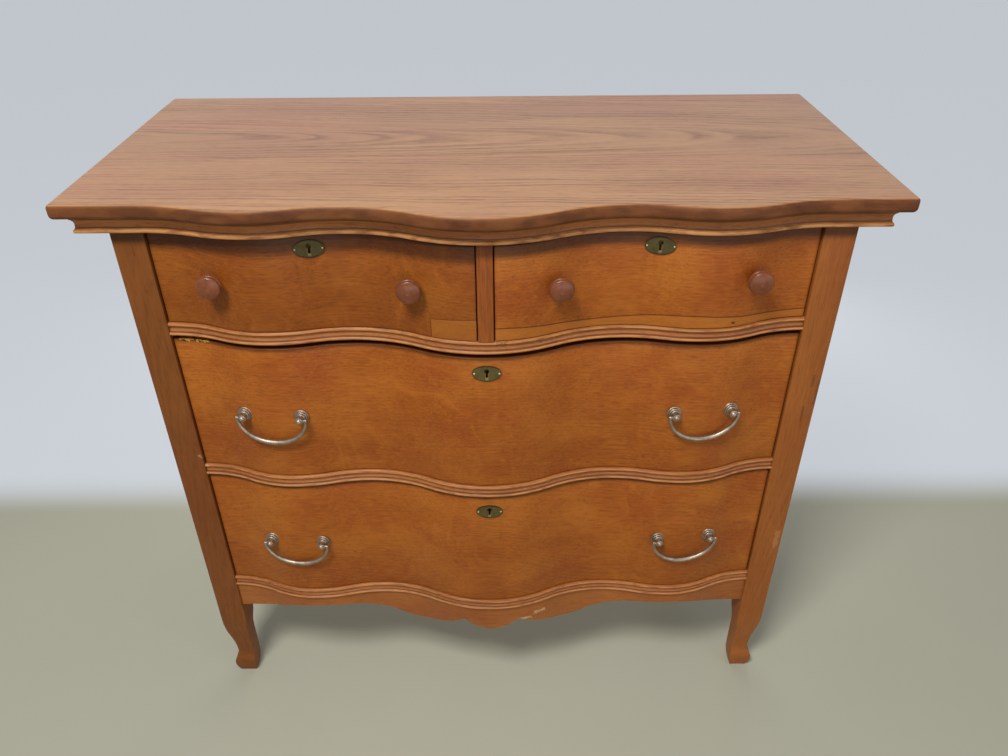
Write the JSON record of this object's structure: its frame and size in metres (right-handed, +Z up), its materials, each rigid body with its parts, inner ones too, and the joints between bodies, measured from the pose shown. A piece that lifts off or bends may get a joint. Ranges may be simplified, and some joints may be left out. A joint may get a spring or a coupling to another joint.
{
  "type": "dresser",
  "caption": "Serpentine-front wooden dresser with small knobbed drawers over wide drawers with bail pulls, locks, moulded rails and a shaped apron.",
  "frame": {"origin": "on the floor under the middle of the top board", "axes": "+X to the right seen from the front, +Y from the drawer fronts to the back, +Z up"},
  "size_m": [1.073, 0.532, 0.9265],
  "materials": {
    "oak_top": "polished golden oak, slightly pale and worn",
    "oak_case": "polished golden oak",
    "oak_rail": "polished golden oak with worn beads",
    "oak_front": "polished cloudy-figured oak veneer",
    "secondary_wood": "bare planed wood",
    "knob_wood": "dark reddish polish",
    "aged_brass": "aged and dull",
    "lock_brass": "plain, unpolished",
    "bolt_steel": "plain",
    "pull_metal": "antique nickel, rubbed bright on the high places"
  },
  "bodies": {
    "case": {"top_board": "oak_top", "front_moulding": "oak_rail", "left_moulding": "oak_rail", "right_moulding": "oak_rail", "front_left_post": "oak_case", "front_right_post": "oak_case", "rear_left_post": "oak_case", "rear_right_post": "oak_case", "left_side_panel": "oak_case", "right_side_panel": "oak_case", "left_side_rails": "oak_case", "right_side_rails": "oak_case", "back_boards": "secondary_wood", "rear_rails": "secondary_wood", "upper_rail": "oak_rail", "middle_rail": "oak_rail", "lower_rail": "oak_rail", "apron": "oak_case", "centre_stile": "oak_case", "centre_runner": "secondary_wood", "left_runners": "secondary_wood", "right_runners": "secondary_wood", "kickers": "secondary_wood", "glue_blocks": "secondary_wood"},
    "upper_left_drawer": {"upper_left_drawer_front": "oak_front", "upper_left_drawer_sides": "secondary_wood", "upper_left_drawer_back": "secondary_wood", "upper_left_drawer_bottom": "secondary_wood", "upper_left_drawer_lock_case": "lock_brass", "upper_left_drawer_escutcheon": "aged_brass", "upper_left_drawer_knobs": "knob_wood"},
    "upper_left_bolt": {"upper_left_drawer_lock_bolt": "bolt_steel"},
    "upper_right_drawer": {"upper_right_drawer_front": "oak_front", "upper_right_drawer_sides": "secondary_wood", "upper_right_drawer_back": "secondary_wood", "upper_right_drawer_bottom": "secondary_wood", "upper_right_drawer_lock_case": "lock_brass", "upper_right_drawer_escutcheon": "aged_brass", "upper_right_drawer_knobs": "knob_wood"},
    "upper_right_bolt": {"upper_right_drawer_lock_bolt": "bolt_steel"},
    "middle_drawer": {"middle_drawer_front": "oak_front", "middle_drawer_sides": "secondary_wood", "middle_drawer_back": "secondary_wood", "middle_drawer_bottom": "secondary_wood", "middle_drawer_lock_case": "lock_brass", "middle_drawer_escutcheon": "aged_brass", "middle_drawer_pull_posts": "pull_metal"},
    "middle_bolt": {"middle_drawer_lock_bolt": "bolt_steel"},
    "middle_left_bail": {"middle_drawer_left_bail": "pull_metal"},
    "middle_right_bail": {"middle_drawer_right_bail": "pull_metal"},
    "lower_drawer": {"lower_drawer_front": "oak_front", "lower_drawer_sides": "secondary_wood", "lower_drawer_back": "secondary_wood", "lower_drawer_bottom": "secondary_wood", "lower_drawer_lock_case": "lock_brass", "lower_drawer_escutcheon": "aged_brass", "lower_drawer_pull_posts": "pull_metal"},
    "lower_bolt": {"lower_drawer_lock_bolt": "bolt_steel"},
    "lower_left_bail": {"lower_drawer_left_bail": "pull_metal"},
    "lower_right_bail": {"lower_drawer_right_bail": "pull_metal"}
  },
  "joints": [
    {"name": "upper_left_drawer_slide", "type": "slide", "parent": "case", "child": "upper_left_drawer", "axis": [0, -1, 0], "range_m": [0, 0.33]},
    {"name": "upper_left_bolt_slide", "type": "slide", "parent": "upper_left_drawer", "child": "upper_left_bolt", "axis": [0, 0, 1], "range_m": [0, 0.011]},
    {"name": "upper_right_drawer_slide", "type": "slide", "parent": "case", "child": "upper_right_drawer", "axis": [0, -1, 0], "range_m": [0, 0.33]},
    {"name": "upper_right_bolt_slide", "type": "slide", "parent": "upper_right_drawer", "child": "upper_right_bolt", "axis": [0, 0, 1], "range_m": [0, 0.011]},
    {"name": "middle_drawer_slide", "type": "slide", "parent": "case", "child": "middle_drawer", "axis": [0, -1, 0], "range_m": [0, 0.33]},
    {"name": "middle_bolt_slide", "type": "slide", "parent": "middle_drawer", "child": "middle_bolt", "axis": [0, 0, 1], "range_m": [0, 0.011]},
    {"name": "middle_left_bail_hinge", "type": "hinge", "parent": "middle_drawer", "child": "middle_left_bail", "pos_m": [-0.31023, -0.2211, 0.60575], "axis": [-0.9947, 0.1027, 0], "range_deg": [-4, 180]},
    {"name": "middle_right_bail_hinge", "type": "hinge", "parent": "middle_drawer", "child": "middle_right_bail", "pos_m": [0.31023, -0.2211, 0.60575], "axis": [-0.9947, -0.1027, 0], "range_deg": [-4, 180]},
    {"name": "lower_drawer_slide", "type": "slide", "parent": "case", "child": "lower_drawer", "axis": [0, -1, 0], "range_m": [0, 0.33]},
    {"name": "lower_bolt_slide", "type": "slide", "parent": "lower_drawer", "child": "lower_bolt", "axis": [0, 0, 1], "range_m": [0, 0.011]},
    {"name": "lower_left_bail_hinge", "type": "hinge", "parent": "lower_drawer", "child": "lower_left_bail", "pos_m": [-0.31023, -0.2211, 0.35775], "axis": [-0.9947, 0.1027, 0], "range_deg": [-4, 180]},
    {"name": "lower_right_bail_hinge", "type": "hinge", "parent": "lower_drawer", "child": "lower_right_bail", "pos_m": [0.31023, -0.2211, 0.35775], "axis": [-0.9947, -0.1027, 0], "range_deg": [-4, 180]}
  ]
}
